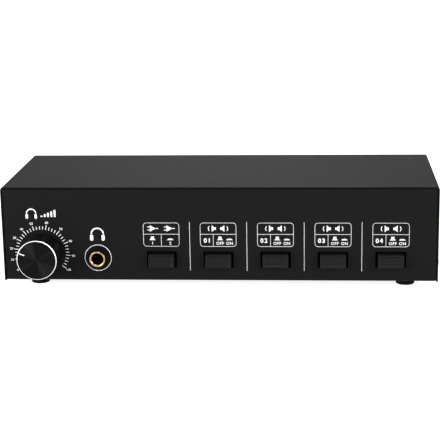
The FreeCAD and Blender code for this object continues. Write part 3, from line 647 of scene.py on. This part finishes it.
def add_mottle(tree, shader, scale, tone, gloss):
    """Feeds the shader's colour and roughness through the mottle; tone and gloss are spreads."""
    node = tree.nodes.new("ShaderNodeGroup")
    node.node_tree = MOTTLE
    node.inputs["Colour"].default_value = shader.inputs["Base Color"].default_value
    node.inputs["Roughness"].default_value = shader.inputs["Roughness"].default_value
    node.inputs["Scale"].default_value = scale
    node.inputs["Tone spread"].default_value = tone
    node.inputs["Gloss spread"].default_value = gloss
    tree.links.new(node.outputs["Colour"], shader.inputs["Base Color"])
    tree.links.new(node.outputs["Roughness"], shader.inputs["Roughness"])


def add_grain(tree, shader, scale, depth, lumps=0.3):
    """Feeds the shader's normal with a grain of a depth in millimetres."""
    node = tree.nodes.new("ShaderNodeGroup")
    node.node_tree = GRAIN
    node.inputs["Scale"].default_value = scale
    node.inputs["Lumps"].default_value = lumps
    bump = tree.nodes.new("ShaderNodeBump")
    bump.inputs["Strength"].default_value = 1.0
    bump.inputs["Distance"].default_value = depth * MM
    tree.links.new(node.outputs["Height"], bump.inputs["Height"])
    tree.links.new(bump.outputs["Normal"], shader.inputs["Normal"])


def turn_rings(tree, shader):
    """Fine rings cut about Y, which spread light across themselves."""
    shader.inputs["Anisotropic"].default_value = 1.0
    shader.inputs["Anisotropic Rotation"].default_value = 0.25
    tangent = tree.nodes.new("ShaderNodeTangent")
    tangent.direction_type = "RADIAL"
    tangent.axis = "Y"
    tree.links.new(tangent.outputs["Tangent"], shader.inputs["Tangent"])


MADE = {}


def once(make):
    """Keeps one material for each maker and its values."""
    def made(*values, **named):
        key = (make.__name__, *values, *named.values())
        if key not in MADE:
            MADE[key] = make(*values, **named)
        return MADE[key]
    return made


@once
def powder_coat(name, tone, gloss):
    """Black powder coat with a fine texture."""
    material, tree, shader = new_finish(name, grey(tone), roughness=0.55, specular=gloss)
    add_mottle(tree, shader, scale=25, tone=0.08, gloss=0.05)
    add_grain(tree, shader, scale=2600, depth=0.012)
    return material


@once
def ink():
    """White screen print, a little uneven."""
    material, tree, shader = new_finish("white_ink", grey(0.62), roughness=0.6, specular=0.2)
    add_mottle(tree, shader, scale=900, tone=0.1, gloss=0.1)
    return material


@once
def plastic(name, colour, roughness, grain, gloss=0.25):
    """Moulded plastic; grain is the depth of its texture."""
    material, tree, shader = new_finish(name, colour, roughness, specular=gloss)
    add_mottle(tree, shader, scale=120, tone=0.08, gloss=0.15)
    add_grain(tree, shader, scale=5000, depth=grain)
    return material


@once
def rubber():
    """Black moulded rubber."""
    material, tree, shader = new_finish("foot_rubber", grey(0.004), roughness=0.75, specular=0.06)
    add_mottle(tree, shader, scale=150, tone=0.2, gloss=0.1)
    add_grain(tree, shader, scale=3500, depth=0.02, lumps=0.8)
    return material


@once
def metal(name, colour, roughness, grain):
    """Plated or drawn metal; grain is the depth of its texture."""
    material, tree, shader = new_finish(name, colour, roughness, metallic=1.0)
    add_mottle(tree, shader, scale=300, tone=0.06, gloss=0.2)
    add_grain(tree, shader, scale=6000, depth=grain)
    return material


def black_zinc():
    """The black plate of the small screws."""
    return metal("black_zinc", (0.09, 0.09, 0.1), roughness=0.38, grain=0.003)


@once
def anodised():
    """Black anodised aluminium of the knob's turned side."""
    material, tree, shader = new_finish("black_anodised", grey(0.001), roughness=0.4, specular=0.055)
    add_mottle(tree, shader, scale=200, tone=0.08, gloss=0.1)
    turn_rings(tree, shader)
    return material


@once
def spun_face():
    """The knob's face: black anodised over fine turned rings."""
    material, tree, shader = new_finish("spun_face", grey(0.0072), roughness=0.35, metallic=1.0)
    add_mottle(tree, shader, scale=260, tone=0.1, gloss=0.1)
    turn_rings(tree, shader)
    return material


@once
def circuit_board():
    """Green solder mask over faint tracks."""
    material, tree, shader = new_finish("circuit_board", (0.02, 0.12, 0.05), roughness=0.35, coat=0.3)
    add_mottle(tree, shader, scale=400, tone=0.25, gloss=0.1)
    return material


def dress(node, material):
    """Gives a node's object one material."""
    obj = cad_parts[node]
    for slot in obj.material_slots:
        slot.link = "OBJECT"
        slot.material = material
    return obj


# ---------------------------------------------------------------- case
FOOT_RADIUS = 5.2
FOOT_EDGE = 0.6
DIMPLE_DEEP = 0.5
# The dimple's floor and mouth, as shares of the foot's radius.
DIMPLE_FLOOR = 0.34
DIMPLE_MOUTH = 0.44

HEAD_RADIUS = 2.8
HEAD_TALL = 1.6
# The dome of a pan head, as shares of its height and its radius.
HEAD_DOME = ((0, 1), (0.45, 1), (0.68, 0.95), (0.86, 0.82), (0.96, 0.62), (1, 0.4))
RECESS_DEEP = HEAD_TALL * 0.62
RECESS_HALF = 0.36
RECESS_OVER = 0.2
RECESS_FLOOR_REACH = 0.75
RECESS_MOUTH_REACH = 1.6

SCREW_SHANK = 5.0
SCREW_RADIUS = 1.5
SCREW_ROOT = SCREW_RADIUS * 0.84
SCREW_TIP = SCREW_RADIUS * 0.7
THREAD_PITCH = 0.5
THREAD_LEAD = 0.25

# Edges shorter than this are left over from a cut and are closed up.
SLIVER = 0.001


def dress_case():
    """Powder-coated sheets, board, bars and switch housings."""
    soften(dress("chassis", powder_coat("panel_coat", tone=0.0032, gloss=0.062)), width=0.15)
    # The cover's coat is darker and less glossy than the panel's, so its front cut edge renders as a dark
    # line under the top edge: partly its own black finish, partly painted shade for the shadow gap between
    # cover and panel.
    soften(dress("cover", powder_coat("cover_coat", tone=0.002, gloss=0.034)), width=0.2)
    dress("main_board", circuit_board())
    dress("terminal_board", circuit_board())
    dress("board_screws", metal("zinc_plate", (0.62, 0.62, 0.64), roughness=0.35, grain=0.002))
    dress("link_bars", metal("bare_copper", (0.82, 0.42, 0.26), roughness=0.35, grain=0.004))
    dress("switch_bodies", plastic("switch_plastic", (0.03, 0.03, 0.035), roughness=0.4, grain=0.004))


def foot_profile(radius, tall):
    """Sole with a shallow dimple, a rounded edge and a plain side."""
    dimple = [(DIMPLE_DEEP, 0), (DIMPLE_DEEP, radius * DIMPLE_FLOOR), (0.0, radius * DIMPLE_MOUTH)]
    rounded = arc((FOOT_EDGE, radius - FOOT_EDGE), FOOT_EDGE, 180, 90, 6)
    return [*dimple, *rounded, (tall, radius), (tall, 0)]


def rubber_feet():
    """Four turned rubber feet."""
    low, high = low_corner("feet"), high_corner("feet")
    feet = bmesh.new()
    for across in (low.x + FOOT_RADIUS, high.x - FOOT_RADIUS):
        for depth in (low.y + FOOT_RADIUS, high.y - FOOT_RADIUS):
            lathe(feet, foot_profile(FOOT_RADIUS, high.z), (across, depth, 0), (0, 0, 1), steps=48)
    made = piece("rubber_feet", feet, "case", rubber())
    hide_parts("feet")


def screw_profile():
    """A domed pan head and a threaded shank, from the tip of the shank outwards."""
    thread = []
    for ridge in range(int((SCREW_SHANK - 2 * THREAD_LEAD) / THREAD_PITCH)):
        foot = THREAD_LEAD + ridge * THREAD_PITCH
        thread += [(foot, SCREW_ROOT), (foot + THREAD_PITCH / 2, SCREW_RADIUS)]
    dome = [(SCREW_SHANK + HEAD_TALL * rise, HEAD_RADIUS * out) for rise, out in HEAD_DOME]
    shank = [(0, 0), (0, SCREW_TIP), *thread, (SCREW_SHANK, SCREW_ROOT)]
    return [*shank, *dome, (SCREW_SHANK + HEAD_TALL, 0)]


def cross_cutter(head, outward):
    """A tapered cross that sinks the recess of a screw head."""
    cutter = bmesh.new()
    for turned in (False, True):
        rings = []
        for level, reach in ((-RECESS_DEEP, RECESS_FLOOR_REACH), (RECESS_OVER, RECESS_MOUTH_REACH)):
            across, up = (RECESS_HALF, reach) if turned else (reach, RECESS_HALF)
            corners = [Vector(head) + Vector((outward * level, along * across, rise * up))
                       for along, rise in ((-1, -1), (1, -1), (1, 1), (-1, 1))]
            rings.append([cutter.verts.new(corner * MM) for corner in corners])
        prism(cutter, *rings)
    return cutter


def carve(mesh_code, cutter):
    """The mesh less the cutter, as new mesh code."""
    parts = []
    for code in (mesh_code, cutter):
        bmesh.ops.recalc_face_normals(code, faces=code.faces)
        parts.append(add_object("carving", finished_mesh("carving", code)))
    boolean = parts[0].modifiers.new("recess", "BOOLEAN")
    boolean.operation = "DIFFERENCE"
    boolean.solver = "EXACT"
    boolean.use_self = True
    boolean.object = parts[1]
    mesh = shaped_mesh(parts[0])
    carved = bmesh.new()
    carved.from_mesh(mesh)
    bmesh.ops.dissolve_degenerate(carved, edges=carved.edges, dist=SLIVER * MM)
    bpy.data.meshes.remove(mesh)
    for part in parts:
        mesh = part.data
        bpy.data.objects.remove(part)
        bpy.data.meshes.remove(mesh)
    return carved


def cover_screws():
    """Pan-head screws with a cross recess in both sides of the cover."""
    low, high = low_corner("cover_screws"), high_corner("cover_screws")
    level = (low.z + high.z) / 2
    screws = bmesh.new()
    for outward, end in ((-1, low.x), (1, high.x)):
        for depth in (low.y + HEAD_RADIUS, high.y - HEAD_RADIUS):
            tip = (end - outward * (HEAD_TALL + SCREW_SHANK), depth, level)
            screw = lathe(bmesh.new(), screw_profile(), tip, (outward, 0, 0), steps=40)
            mesh = finished_mesh("screw", carve(screw, cross_cutter((end, depth, level), outward)))
            screws.from_mesh(mesh)
            bpy.data.meshes.remove(mesh)
    made = piece("cover_screw_set", screws, "case", black_zinc())
    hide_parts("cover_screws")


# ---------------------------------------------------------------- push switches
SPRING_WIRE = 0.5
SPRING_RADIUS = 2.9
SPRING_TURNS = 6.5
SPRING_SIDES = 8
SPRING_STEPS = 22


def coil_path(radius, start, end, centre):
    """A helix along Y, as points in millimetres."""
    points = []
    for number in range(int(SPRING_TURNS * SPRING_STEPS) + 1):
        share = number / (SPRING_TURNS * SPRING_STEPS)
        turn = TURN * number / SPRING_STEPS
        across = centre.x + radius * math.cos(turn)
        along = start + SPRING_WIRE / 2 + (end - start - SPRING_WIRE) * share
        up = centre.z + radius * math.sin(turn)
        points.append(Vector((across, along, up)))
    return points


def tube(mesh_code, points, radius, sides):
    """A round wire along a row of points."""
    rings = []
    for number, point in enumerate(points):
        ahead = points[min(number + 1, len(points) - 1)]
        behind = points[max(number - 1, 0)]
        along = (ahead - behind).normalized()
        side = along.cross(Vector((0, 1, 0))).normalized()
        rings.append(ring(mesh_code, point, side, along.cross(side), radius, sides))
    for near, far in zip(rings, rings[1:]):
        join_rings(mesh_code, near, far)
    mesh_code.faces.new(rings[0])
    mesh_code.faces.new(rings[-1])


def return_spring(name):
    """A wound spring in place of the plain sleeve."""
    node = name + "_spring"
    low, high, centre = low_corner(node), high_corner(node), middle(node)
    wire = bmesh.new()
    path = coil_path(SPRING_RADIUS - SPRING_WIRE / 2, low.y, high.y, centre)
    tube(wire, path, SPRING_WIRE / 2, SPRING_SIDES)
    finish = metal("spring_wire", (0.5, 0.5, 0.52), roughness=0.3, grain=0.001)
    made = piece(name + "_coil", wire, "case", finish, smooth_angle=60)
    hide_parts(node)
    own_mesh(made)


def dress_switches():
    """Satin buttons, white plungers and wound springs."""
    satin = plastic("button_plastic", grey(0.004), roughness=0.25, grain=0.001, gloss=0.1)
    white = plastic("plunger_plastic", (0.7, 0.69, 0.64), roughness=0.45, grain=0.003)
    for name in SWITCHES:
        soften(dress(name + "_button", satin), width=0.22, angle=20)
        dress(name + "_plunger", white)
        return_spring(name)


# ---------------------------------------------------------------- volume
KNOB_CUT = 0.38
KNOB_LAND = 0.15
KNOB_BACK_EDGE = 0.4
# Each bore of the knob: its radius, and how far behind the face it starts.
KNOB_HOLLOW = (7.2, 10.8)
KNOB_BORE = (3.03, 2.5)

POINTER_ANGLE = 157.5
POINTER_INNER = 7.1
POINTER_OUTER = 10.35
POINTER_WIDE = 0.52


def knob_pointer(face):
    """A white line on the knob's face, whose place along Y is given."""
    turn = math.radians(POINTER_ANGLE)
    out = Vector((math.cos(turn), 0, math.sin(turn)))
    side = Vector((-out.z, 0, out.x)) * POINTER_WIDE / 2
    corners = [out * POINTER_INNER - side, out * POINTER_OUTER - side, out * POINTER_OUTER + side,
               out * POINTER_INNER + side]
    line = bmesh.new()
    rings = []
    for level in (face + PRINT_SUNK, face - PRINT_PROUD):
        centre = Vector((DIAL.x, level, DIAL.z))
        rings.append([line.verts.new((centre + corner) * MM) for corner in corners])
    prism(line, *rings)
    piece("volume_pointer", line, "volume", ink())


def volume_knob():
    """Turned knob: glossy black side, bright cut edge and spun face, with a white pointer."""
    low, high = low_corner("volume_knob"), high_corner("volume_knob")
    radius, long = (high.x - low.x) / 2, high.y - low.y
    hollow, hollow_at = KNOB_HOLLOW
    bore, bore_at = KNOB_BORE
    front = [(0, 0), (0, radius - KNOB_CUT), (KNOB_CUT, radius), (KNOB_CUT + KNOB_LAND, radius)]
    back = [(long - KNOB_BACK_EDGE, radius), (long, radius - KNOB_BACK_EDGE), (long, hollow)]
    inside = [(hollow_at, hollow), (hollow_at, bore), (bore_at, bore), (bore_at, 0)]
    profile = front + back + inside
    face, cut_edge, side = range(3)
    marks = [face, cut_edge] + [side] * (len(profile) - 3)
    face_level = low.y + PRINT_PROUD
    turned = lathe(bmesh.new(), profile, (DIAL.x, face_level, DIAL.z), (0, 1, 0), steps=128, marks=marks)
    bright = metal("cut_edge", grey(0.75), roughness=0.45, grain=0.0)
    knob = piece("volume_knob_turned", turned, "volume", [spun_face(), bright, anodised()],
                 smooth_angle=25)
    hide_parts("volume_knob")
    knob_pointer(face_level)


def dress_volume():
    """Knob, and the metal of the control behind it."""
    volume_knob()
    nickel = metal("nickel_plate", (0.7, 0.68, 0.63), roughness=0.3, grain=0.002)
    for node in ("volume_control", "volume_washer", "volume_nut"):
        dress(node, nickel)
    dress("volume_shaft", metal("turned_aluminium", grey(0.85), roughness=0.3, grain=0.002))
    dress("knob_screw", black_zinc())


# ---------------------------------------------------------------- jack
FERRULE_BORE = 3.2
FERRULE_EDGE = 0.25
FERRULE_MOUTH = 0.9
FERRULE_PITCH = 0.75
FERRULE_DEPTH = 0.22
FERRULE_LEAD = 0.3
# The thread leaves this much of the tube's length plain.
FERRULE_PLAIN = 1.2


def ferrule():
    """A gilt tube with a fine thread outside, a rounded lip and a flared mouth."""
    low, high = low_corner("jack_ferrule"), high_corner("jack_ferrule")
    radius, long = (high.x - low.x) / 2, high.y - low.y
    root = radius - FERRULE_DEPTH
    lip_radius = radius - FERRULE_EDGE
    outside = [(0, root)]
    for ridge in range(int((long - FERRULE_PLAIN) / FERRULE_PITCH)):
        foot = FERRULE_LEAD + ridge * FERRULE_PITCH
        outside += [(foot, root), (foot + FERRULE_PITCH / 2, radius)]
    outside.append((long - FERRULE_EDGE - FERRULE_LEAD, root))
    lip = arc((long - FERRULE_EDGE, lip_radius), FERRULE_EDGE, 90, 0, 4)
    mouth = [(long - FERRULE_MOUTH * (1 - along), FERRULE_BORE + (lip_radius - FERRULE_BORE) * (1 - inward))
             for along, inward in arc((0, 0), 1, 0, 90, 8)[1:]]
    profile = [(0, FERRULE_BORE), *outside, *lip, *mouth]
    turned = lathe(bmesh.new(), profile, (JACK.x, high.y, JACK.z), (0, -1, 0), steps=72, closed=True)
    gold = metal("gold_plate", (0.36, 0.26, 0.13), roughness=0.22, grain=0.0)
    made = piece("gilt_ferrule", turned, "case", gold, smooth_angle=50)
    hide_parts("jack_ferrule")


def dress_jack():
    """Gilt ferrule, dark nut and black housing."""
    ferrule()
    nut_black = plastic("nut_black", grey(0.002), roughness=0.35, grain=0.002, gloss=0.045)
    soften(dress("jack_nut", nut_black), width=0.25)
    dress("jack_housing", plastic("jack_plastic", grey(0.01), roughness=0.5, grain=0.004))


# ---------------------------------------------------------------- terminals
LEVER_LIP = 0.9
RIB_COUNT = 3
RIB_FIRST = 2.6
RIB_PITCH = 0.9
RIB_RADIUS = 0.28
RIB_SUNK = 0.02
RIB_INSET = 0.9


def grip_ribs(node, finish):
    """Ribs across the tip of a lever."""
    low, high = low_corner(node), high_corner(node)
    ribs = bmesh.new()
    level = high.z - LEVER_LIP - RIB_SUNK
    for number in range(RIB_COUNT):
        depth = high.y - RIB_FIRST - number * RIB_PITCH
        outline = arc((depth, level), RIB_RADIUS, 0, 180, 6)
        prism(ribs, *[[ribs.verts.new(Vector((across, y, z)) * MM) for y, z in outline]
                      for across in (low.x + RIB_INSET, high.x - RIB_INSET)])
    piece(node + "_ribs", ribs, node, finish)


def dress_terminals():
    """Satin black blocks with red and black levers over tinned clips."""
    block = plastic("block_plastic", (0.013, 0.013, 0.014), roughness=0.34, grain=0.003, gloss=0.25)
    soften(dress("terminal_blocks", block), width=0.25)
    dress("contact_clips", metal("tinned_brass", (0.42, 0.41, 0.38), roughness=0.38, grain=0.002))
    red = plastic("red_plastic", (0.55, 0.012, 0.01), roughness=0.3, grain=0.002, gloss=0.35)
    black = plastic("lever_black", (0.03, 0.03, 0.031), roughness=0.3, grain=0.002, gloss=0.35)
    for node in LEVERS:
        finish, slot = (red, "red_plastic") if node.endswith("_red_lever") else (black, "black_plastic")
        soften(dress(node, finish), width=0.2)
        grip_ribs(node, finish)


# ---------------------------------------------------------------- studio
AMBIENT = 0.25
WHITE = (1, 1, 1, 1)
FLOOR_REACH = 6.0
FLOOR_TONE = 0.55
FLOOR_GLOW = 0.85

# Each lamp: its name, its place and its target in metres, its size in metres and its power in watts.
LAMPS = (
    ("overhead", (0.1, -0.3, 0.85), (0, 0, 0.03), (0.35, 0.25), 3.2),
    ("rear_soft", (0.05, 0.85, 0.95), (0, 0.05, 0.03), (0.6, 0.5), 5),
    ("rear_low", (-0.9, 0.6, 0.3), (0, 0.05, 0.03), (0.4, 0.4), 4),
    ("left_key", (-0.71, -0.873, 0.393), (-0.08, -0.05, 0.02), (0.5, 0.5), 12),
    ("left_low", (-0.953, -0.454, 0.147), (-0.05, -0.05, 0.02), (0.2, 0.2), 5.5),
    ("right_fill", (0.65, -0.55, 0.3), (0, 0, 0.02), (0.25, 0.25), 8),
    ("back_glow", (-0.1, 1.2, 0.38), (0, 0, 0.06), (0.4, 0.2), 0.35),
)

# The camera's place is in millimetres, its angles in degrees.
CAMERA_PLACE = (55.6, -758.4, 219.2)
CAMERA_YAW = -4.361
CAMERA_DOWN = 14.042
CAMERA_ROLL = -1.005
CAMERA_CLIP = (0.01, 50)
FOCAL = 110.41
SENSOR = 36.0


def seen_directly(tree):
    """One for rays from the camera, from gloss and through glass, else nought."""
    path = tree.nodes.new("ShaderNodeLightPath")
    found = path.outputs["Is Camera Ray"]
    for label in ("Is Glossy Ray", "Is Transmission Ray"):
        found = arithmetic(tree, "MAXIMUM", found, path.outputs[label])
    return found


def make_world():
    """Soft grey light all round, and a white background wherever it is seen."""
    world = bpy.data.worlds.new("studio")
    bpy.context.scene.world = world
    world.use_nodes = True
    tree = world.node_tree
    soft = tree.nodes["Background"]
    white = tree.nodes.new("ShaderNodeBackground")
    for background, strength in ((soft, AMBIENT), (white, 1.0)):
        background.inputs["Color"].default_value = WHITE
        background.inputs["Strength"].default_value = strength
    choose = tree.nodes.new("ShaderNodeMixShader")
    tree.links.new(seen_directly(tree), choose.inputs["Fac"])
    tree.links.new(soft.outputs["Background"], choose.inputs[1])
    tree.links.new(white.outputs["Background"], choose.inputs[2])
    tree.links.new(choose.outputs["Shader"], tree.nodes["World Output"].inputs["Surface"])


def make_floor():
    """A white floor whose own colour is filled up to white where it is seen, and which keeps the shadow."""
    code = bmesh.new()
    code.faces.new([code.verts.new((x * FLOOR_REACH, y * FLOOR_REACH, 0))
                    for x, y in ((-1, -1), (1, -1), (1, 1), (-1, 1))])
    floor = add_object("floor", finished_mesh("floor", code))
    material, tree, shader = new_finish("pale_floor", grey(FLOOR_TONE), roughness=0.9, specular=0.0)
    glow = tree.nodes.new("ShaderNodeEmission")
    tree.links.new(arithmetic(tree, "MULTIPLY", seen_directly(tree), FLOOR_GLOW), glow.inputs["Strength"])
    both = tree.nodes.new("ShaderNodeAddShader")
    tree.links.new(shader.outputs["BSDF"], both.inputs[0])
    tree.links.new(glow.outputs["Emission"], both.inputs[1])
    tree.links.new(both.outputs["Shader"], tree.nodes["Material Output"].inputs["Surface"])
    floor.data.materials.append(material)


def make_lights():
    """Soft lamps overhead, in front on both sides, and behind."""
    for name, place, target, size, power in LAMPS:
        lamp = bpy.data.lights.new(name, "AREA")
        lamp.shape = "RECTANGLE"
        lamp.size, lamp.size_y = size
        lamp.energy = power
        obj = add_object(name, lamp)
        obj.location = place
        obj.rotation_euler = (Vector(target) - Vector(place)).to_track_quat("-Z", "Y").to_euler()


def make_camera():
    """A long lens from the front, a little above and to the right."""
    camera = bpy.data.cameras.new("camera")
    camera.lens = FOCAL
    camera.sensor_width = SENSOR
    camera.clip_start, camera.clip_end = CAMERA_CLIP
    obj = add_object("camera", camera)
    yaw, down, roll = (math.radians(angle) for angle in (CAMERA_YAW, CAMERA_DOWN, CAMERA_ROLL))
    ahead = Vector((math.sin(yaw) * math.cos(down), math.cos(yaw) * math.cos(down), -math.sin(down)))
    level = Vector((math.cos(yaw), -math.sin(yaw), 0))
    upright = level.cross(ahead)
    right = level * math.cos(roll) + upright * math.sin(roll)
    up = upright * math.cos(roll) - level * math.sin(roll)
    turn = Matrix((right, up, -ahead)).transposed().to_4x4()
    obj.matrix_world = Matrix.Translation(Vector(CAMERA_PLACE) * MM) @ turn
    bpy.context.scene.camera = obj


# ---------------------------------------------------------------- all of it
make_camera()
make_world()
make_floor()
make_lights()
bpy.context.scene.view_settings.view_transform = "Standard"
dress_case()
rubber_feet()
cover_screws()
dress_switches()
dress_volume()
dress_jack()
dress_terminals()
dial_print()
jack_print()
label_print()
control_signs()
rear_print()
